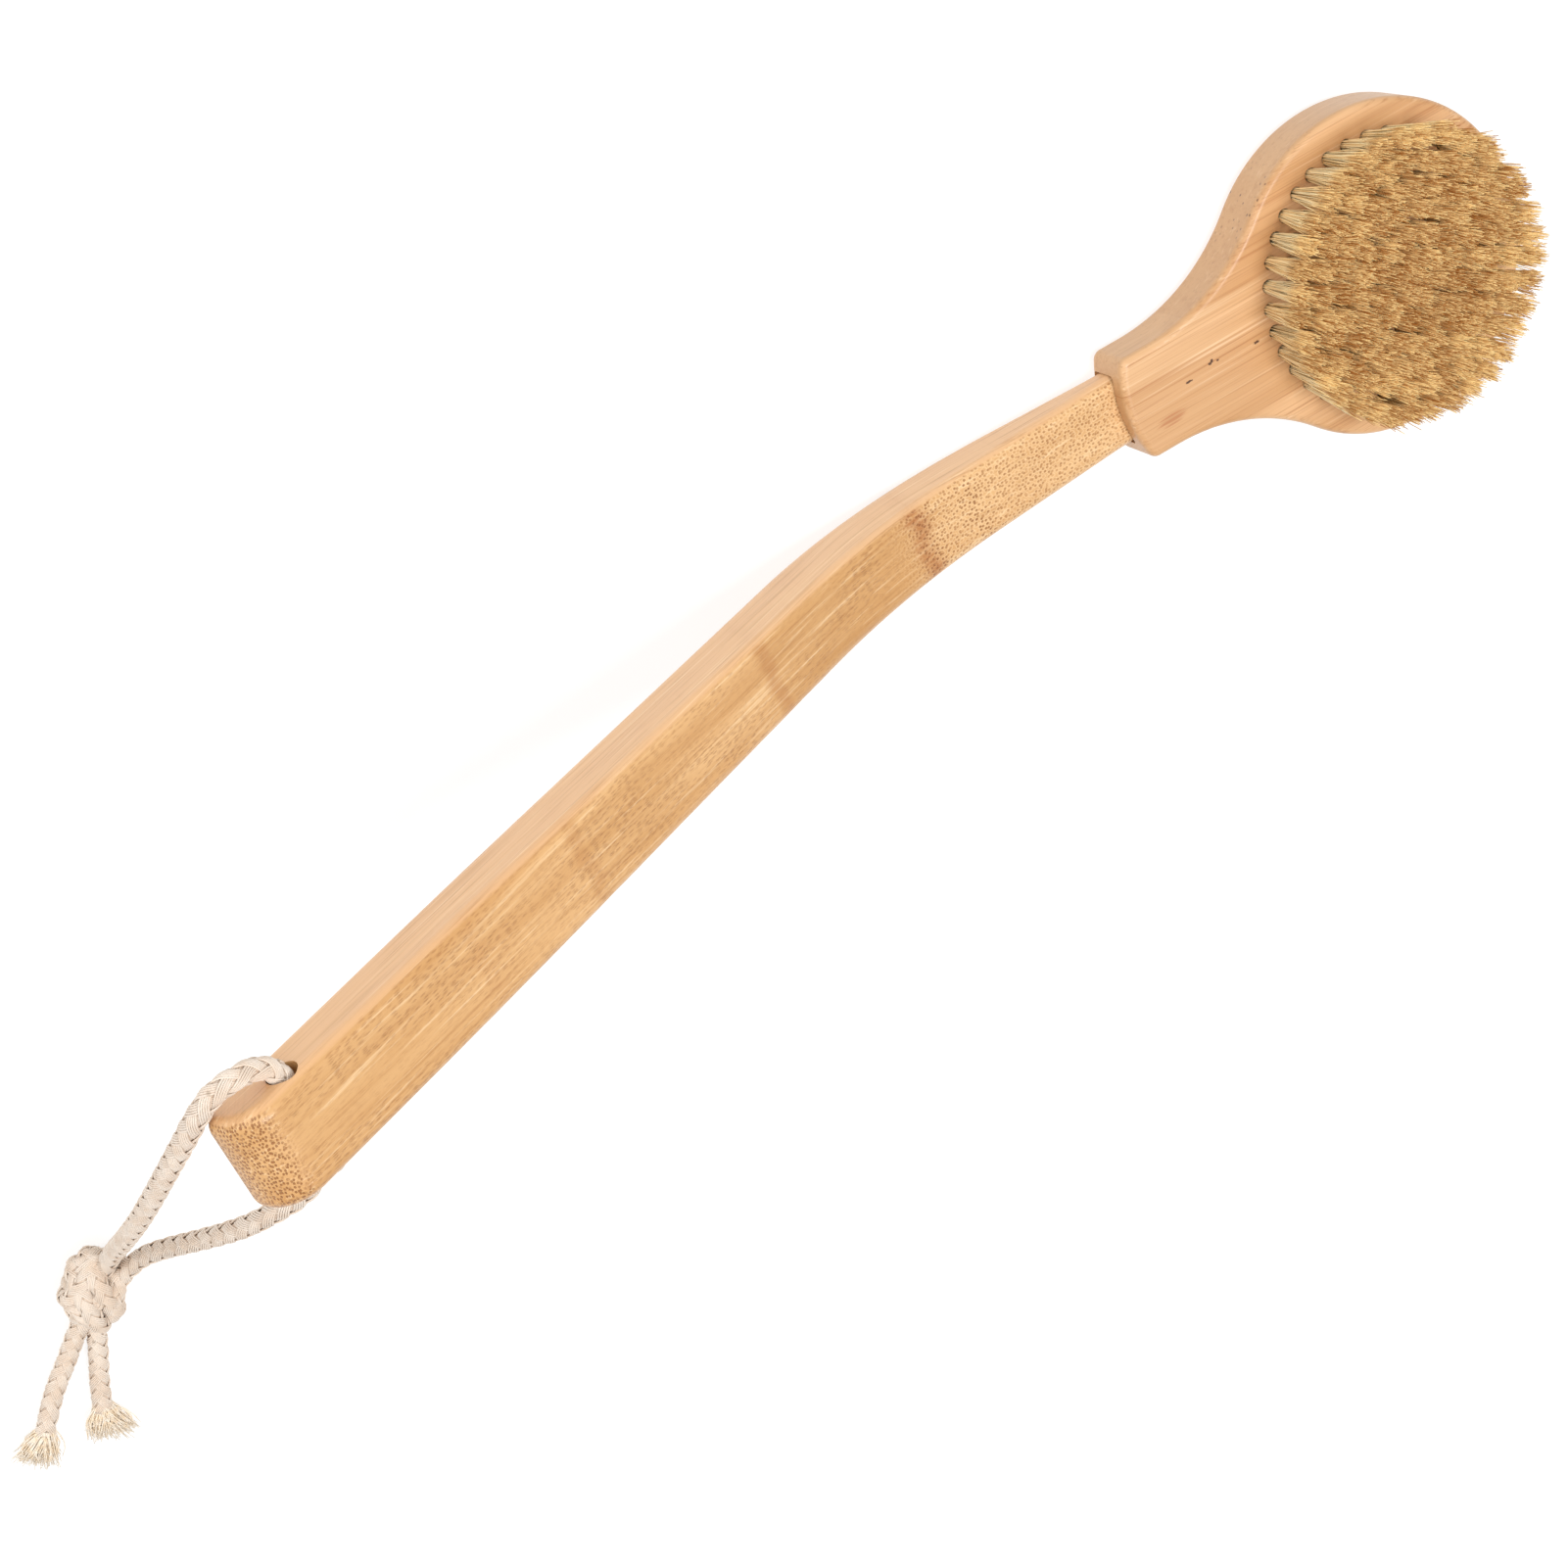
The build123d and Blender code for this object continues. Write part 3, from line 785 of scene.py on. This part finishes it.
# ------------------------------------------------------------------ studio
FLOOR_HALF = 6.0
FLOOR_Z = -0.0003          # just under the pieces that lie on it
SKY_COLOUR = (1.0, 0.995, 0.985, 1.0)
SKY_STRENGTH = 0.54
LAMPS = (  # name, place, target, size, watts
    ("key", (0.12, 0.02, 1.55), (-0.01, 0.0, 0.04), 0.6, 14.6),
    ("fill", (-0.62, 0.62, 0.75), (-0.02, 0.0, 0.04), 0.8, 4.2),
)


def make_floor():
    mesh = bpy.data.meshes.new("floor")
    corners = [(x * FLOOR_HALF, y * FLOOR_HALF, FLOOR_Z) for x, y in ((-1, -1), (1, -1), (1, 1), (-1, 1))]
    mesh.from_pydata(corners, [], [(0, 1, 2, 3)])
    mesh.materials.append(floor_paint())
    floor = bpy.data.objects.new("floor", mesh)
    bpy.context.scene.collection.objects.link(floor)


def make_light():
    world = bpy.data.worlds.new("studio")
    world.use_nodes = True
    sky = world.node_tree.nodes["Background"]
    sky.inputs["Color"].default_value = SKY_COLOUR
    sky.inputs["Strength"].default_value = SKY_STRENGTH
    bpy.context.scene.world = world
    for name, place, target, size, watts in LAMPS:
        data = bpy.data.lights.new(name, "AREA")
        data.size, data.energy = size, watts
        lamp = bpy.data.objects.new(name, data)
        lamp.location = place
        lamp.rotation_euler = (Vector(target) - Vector(place)).to_track_quat("-Z", "Y").to_euler()
        bpy.context.scene.collection.objects.link(lamp)
    bpy.context.scene.view_settings.view_transform = "Standard"
    bpy.context.scene.view_settings.look = "None"


# ------------------------------------------------------------------ putting it together
def rope_piece(name, material, vertices, faces, depths):
    piece = new_piece(name, vertices, faces, material, "handle_body")
    return with_layer(piece, "depth", depths)


def strand(name, material, line, phase):
    plaited = plait(line, PLAIT_FULLNESS * ROPE_DIAMETER, phase=phase, facing=ROPE_FACE, twist=0.25)
    return rope_piece(name, material, *plaited)


def frayed_end(name, material, route, locks, seed):
    piece = new_piece(name, *fray(route, locks, seed), material, "handle_body")
    return piece


def make_rope():
    rope_paint, yarn_paint = cotton(), open_yarn()
    near_line = spline_points("near_line", NEAR_ROUTE)
    far_line = spline_points("far_line", FAR_ROUTE)
    near_rope = strand("rope_near", rope_paint, near_line, 0.0)
    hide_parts("rope_in_hole", "rope_strand_near", "rope_tail_near")
    far_rope = strand("rope_far", rope_paint, far_line, 0.7)
    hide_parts("rope_strand_far", "rope_tail_far")
    knot = rope_piece("rope_knot_body", rope_paint, *knot_body())
    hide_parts("rope_knot")
    near_fray = frayed_end("rope_end_near", yarn_paint, NEAR_ROUTE, NEAR_LOCKS, 11)
    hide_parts("rope_fray_near")
    far_fray = frayed_end("rope_end_far", yarn_paint, FAR_ROUTE, FAR_LOCKS, 12)
    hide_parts("rope_fray_far")


def make_bristles():
    hair_paint = bristle_hair()
    for ring in range(TUFT_RINGS + 1):
        name = f"ring_{ring}" if ring else "centre"
        vertices, faces, tones = tuft_ring(ring)
        tufts = new_piece(f"bristles_{name}", vertices, faces, hair_paint, "head_body")
        with_layer(tufts, "tone", tones)
        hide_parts(f"tufts_{name}")


def paint_frame():
    """Materials for the CAD nodes that show: the wood and the wire anchors."""
    paints = {"head": bamboo_head(), "handle": bamboo_handle()}
    wire = staple_wire()
    for name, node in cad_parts.items():
        if name in paints or name.startswith("anchors"):
            node.data.materials.clear()
            node.data.materials.append(paints.get(name, wire))


make_camera()
make_rope()
make_bristles()
paint_frame()
make_floor()
make_light()
